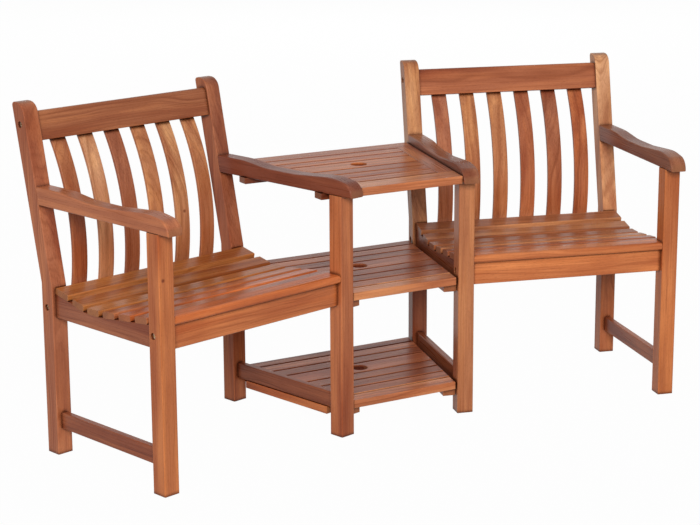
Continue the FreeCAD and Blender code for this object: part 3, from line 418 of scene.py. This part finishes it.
# For each single piece of a chair: its grain, and its tone on the left and on the right chair. A rear post
# has a tone above the seat and one below it, which is painted shade under the seat, and painted light on the
# left inner post.
CHAIR_PIECES = {
    "inner_rear_post": ("upright", (RUST, CLAY), (GOLD, RUST)),
    "outer_rear_post": ("upright", (RED, RED), (PALE, CLAY)),
    "inner_front_leg": ("upright", CLAY, CAMEL),
    "outer_front_leg": ("upright", ORANGE, ORANGE),
    "inner_arm": ("depth", UMBER, NUT),
    "outer_arm": ("depth", RED, NUT),
    "inner_side_rail": ("depth", BROWN, BROWN),
    "outer_side_rail": ("depth", RUST, RED),
    "inner_stretcher": ("depth", BROWN, BROWN),
    "outer_stretcher": ("depth", RUST, RED),
    "crest_rail": ("across", CHESTNUT, RED),
    "rear_rail": ("across", RED, RED),
    # The aprons and seat nosings have lighter tones than the rest: painted light on these front faces
    "front_apron": ("across", AMBER, AMBER),
    "seat_nosing": ("across", FLAME, AMBER),
}
# Pieces sawn so that their growth rings hardly show, and how much they do
PLAIN_PIECES = ("inner_front_leg", "outer_front_leg", "inner_arm", "outer_arm")
PLAIN = 0.4
# Small dark knots, with the radii of the dark and of all
KNOTS = {
    "left_back_slats": [((-0.4554, 0.2121, 0.5574), 2 * MM, 6 * MM)],
    "left_outer_front_leg": [((-0.76, -0.3319, 0.5289), 2 * MM, 6 * MM)],
}
HOLE_SHADE_DARK, HOLE_SHADE_REACH = 22.9 * MM, 24 * MM  # painted shade on the wall of a parasol hole
POST_SHADING_HEIGHTS = (0.34, 0.52)  # heights between which the rear posts change to their colour below the seat, painted shade and light
SLAT_SHADING = (CLAY, 0.6, 0.42, 0.7)  # a deeper colour on the back slats lower down, painted shade near the seat: the colour, how much of it, and the heights

# Boards from left to right, and from the front to the rear
BACK_TONES = {"left": [CAMEL, PALE, RUST, TAN, GOLD, TAN], "right": [ROSE, TAN, TAN, RED, RUST, CLAY]}
SEAT_TONES = {
    "left": [CLAY, FLAME, CLAY, HAZEL, HAZEL, HAZEL],
    "right": [ORANGE, RED, TAN, CHESTNUT, TAN, CHESTNUT],
}
BATTEN_TONE = ORANGE
TABLE_PIECES = {
    "rear_board": RED,
    "front_board": HONEY,
    "centre_board": ORANGE,
    "rear_bearer": DARK,
    "front_bearer": DARK,
}
SIDE_BOARD_TONE = RED
SHELF_CENTRE_TONE = RED
TOP_TONES = [TAN, CLAY, ORANGE, RED, CLAY, ORANGE, CLAY, RED]
# The front board of each shelf is lighter, painted light on its front edge, and the boards behind it are
# darker, painted shade
SHELF_TONES = [HONEY, RED, BROWN, RUST, RUST, BROWN, RED, BROWN]

# Seeds of the grain, which count up from these. A chair's slats and battens add theirs to the chair's.
CHAIR_SEEDS = {"left": 10, "right": 50}
BACK_SEED, SEAT_SEED, BATTEN_SEED = 30, 31, 32
TABLE_SEED, SIDE_BOARD_SEED, TOP_SEED, SHELF_CENTRE_SEED, SHELF_SEED = 100, 110, 120, 130, 132


def dress_chair(side):
    """The wood of one chair, and of the battens on its side of the table."""
    turned, seed = CHAIR_TURNS[side], CHAIR_SEEDS[side]
    for number, (piece, (along, *tones)) in enumerate(CHAIR_PIECES.items(), start=seed):
        name = "%s_%s" % (side, piece)
        grain = along if along == "upright" else "%s_%s" % (side, along)
        tone, lower_shading = tones[SIDES.index(side)], None
        if piece.endswith("rear_post"):
            tone, lower = tone
            lower_shading = (lower, 1, *POST_SHADING_HEIGHTS)
        figure = PLAIN if piece in PLAIN_PIECES else 1
        dark_spots = KNOTS.get(name, ())
        dress(name, oiled_hardwood(name, grain, [tone], number, lower_shading=lower_shading, dark_spots=dark_spots, figure=figure))
    name = side + "_back_slats"
    boards = even_boards(name, turned, "X", BACK_SLATS, BACK_SLAT_PITCH)
    dress(name, oiled_hardwood(name, "upright", BACK_TONES[side], seed + BACK_SEED, boards, SLAT_SHADING,
                               KNOTS.get(name, ())))
    name = side + "_seat_slats"
    boards = even_boards(name, turned, "Y", SEAT_SLATS, SEAT_SLAT_PITCH)
    dress(name, oiled_hardwood(name, side + "_across", SEAT_TONES[side], seed + SEAT_SEED, boards))
    for number, tier in enumerate(TIERS, start=seed + BATTEN_SEED):
        name = "%s_%s_batten" % (side, tier)
        dress(name, oiled_hardwood(name, side + "_depth", [BATTEN_TONE], number))


def parasol_hole_shade(name):
    """Painted shade on the wall of the round hole in the middle of a board."""
    return [(middle_of(name), HOLE_SHADE_DARK, HOLE_SHADE_REACH)]


def dress_table():
    """The boards and bearers of the top, and the boards of both shelves."""
    for number, (piece, tone) in enumerate(TABLE_PIECES.items(), start=TABLE_SEED):
        name = "table_" + piece
        # painted shade in the parasol hole
        hole_shade = parasol_hole_shade(name) if piece == "centre_board" else ()
        dress(name, oiled_hardwood(name, "across", [tone], number, dark_spots=hole_shade))
    for number, side in enumerate(SIDES, start=SIDE_BOARD_SEED):
        name = "table_%s_side_board" % side
        dress(name, oiled_hardwood(name, side + "_depth", [SIDE_BOARD_TONE], number))
    name = "table_top_slats"
    boards = table_boards("table_centre_board", TOP_CENTRE_PITCH, TOP_PITCH)
    dress(name, oiled_hardwood(name, "across", TOP_TONES, TOP_SEED, boards))
    for number, tier in enumerate(TIERS):
        centre = tier + "_shelf_centre_board"
        # painted shade in the parasol hole
        hole_shade = parasol_hole_shade(centre)
        seed = SHELF_CENTRE_SEED + number
        dress(centre, oiled_hardwood(centre, "across", [SHELF_CENTRE_TONE], seed, dark_spots=hole_shade))
        name = tier + "_shelf_slats"
        boards = table_boards(centre, SHELF_CENTRE_PITCH, SHELF_PITCH)
        dress(name, oiled_hardwood(name, "across", SHELF_TONES, SHELF_SEED + number, boards))


def dress_fasteners():
    """The bolts, barrel nuts and screws."""
    steel = zinc_plated_steel()
    for name in nodes:
        if name.endswith(("bolts", "nuts", "screws")):
            dress(name, steel)


def whitened(tree, reflected):
    """A share of white: 1 for the camera, less in a reflection, and none for the light on the object."""
    rays = add(tree, "LightPath").outputs
    share = add(tree, "Math", {0: rays["Is Glossy Ray"], 1: reflected, 2: rays["Is Camera Ray"]},
                operation="MULTIPLY_ADD")
    return share.outputs[0]


def floor():
    """A white studio floor, brightened for the camera so that it stays pale and keeps the shadow."""
    bpy.ops.mesh.primitive_plane_add(size=FLOOR_SIZE, location=(0, 0, 0))
    sheet = bpy.context.object
    sheet.name = "floor"
    material, tree = new_material("studio_floor")
    paper = add(tree, "BsdfDiffuse", {"Color": linear(FLOOR_PAPER)})
    shine = add(tree, "Emission", {"Color": WHITE, "Strength": 1})
    white = whitened(tree, FLOOR_REFLECTED)
    share = add(tree, "Math", {0: white, 1: FLOOR_WHITENED}, operation="MULTIPLY")
    mixed = add(tree, "MixShader", {0: share.outputs[0], 1: paper.outputs[0], 2: shine.outputs[0]})
    add(tree, "OutputMaterial", {"Surface": mixed.outputs[0]})
    sheet.data.materials.append(material)


def world():
    """A white studio, dimmed where it lights the object so that the lamps shape it."""
    made = bpy.data.worlds.new("studio")
    made.use_nodes = True
    tree = made.node_tree
    tree.nodes.clear()
    soft = add(tree, "Background", {"Color": WHITE, "Strength": WORLD_LIGHT})
    seen = add(tree, "Background", {"Color": WHITE, "Strength": 1})
    white = whitened(tree, WORLD_REFLECTED)
    mixed = add(tree, "MixShader", {0: white, 1: soft.outputs[0], 2: seen.outputs[0]})
    add(tree, "OutputWorld", {"Surface": mixed.outputs[0]})
    bpy.context.scene.world = made


def lamp(name, place, size, power, gloss=True):
    """A soft box aimed at the seat. Without gloss it shows in no reflection."""
    data = bpy.data.lights.new(name, "AREA")
    data.shape = "RECTANGLE"
    data.size, data.size_y = size
    data.energy = power
    made = bpy.data.objects.new(name, data)
    made.location = place
    made.visible_glossy = gloss
    aim = Vector(LAMP_AIM) - Vector(place)
    made.rotation_euler = aim.to_track_quat("-Z", "Y").to_euler()
    bpy.context.scene.collection.objects.link(made)


def camera():
    """The photograph's view."""
    data = bpy.data.cameras.new("camera")
    made = bpy.data.objects.new("camera", data)
    bpy.context.scene.collection.objects.link(made)
    made.location = CAMERA_PLACE
    made.rotation_euler = Euler((math.radians(90 - CAMERA_DOWN), 0, math.radians(-CAMERA_YAW)))
    data.lens = LENS
    data.shift_x, data.shift_y = SHIFT
    bpy.context.scene.camera = made


for side in SIDES:
    dress_chair(side)
dress_table()
dress_fasteners()
floor()
world()
# The key is two boxes in one place, so that less of it shines back from the table top
lamp("key", KEY_PLACE, KEY_SIZE, KEY_POWER)
lamp("key_soft", KEY_PLACE, KEY_SIZE, KEY_SOFT_POWER, gloss=False)
lamp("rear", REAR_PLACE, REAR_SIZE, REAR_POWER, gloss=False)
camera()
bpy.context.scene.view_settings.view_transform = "Standard"
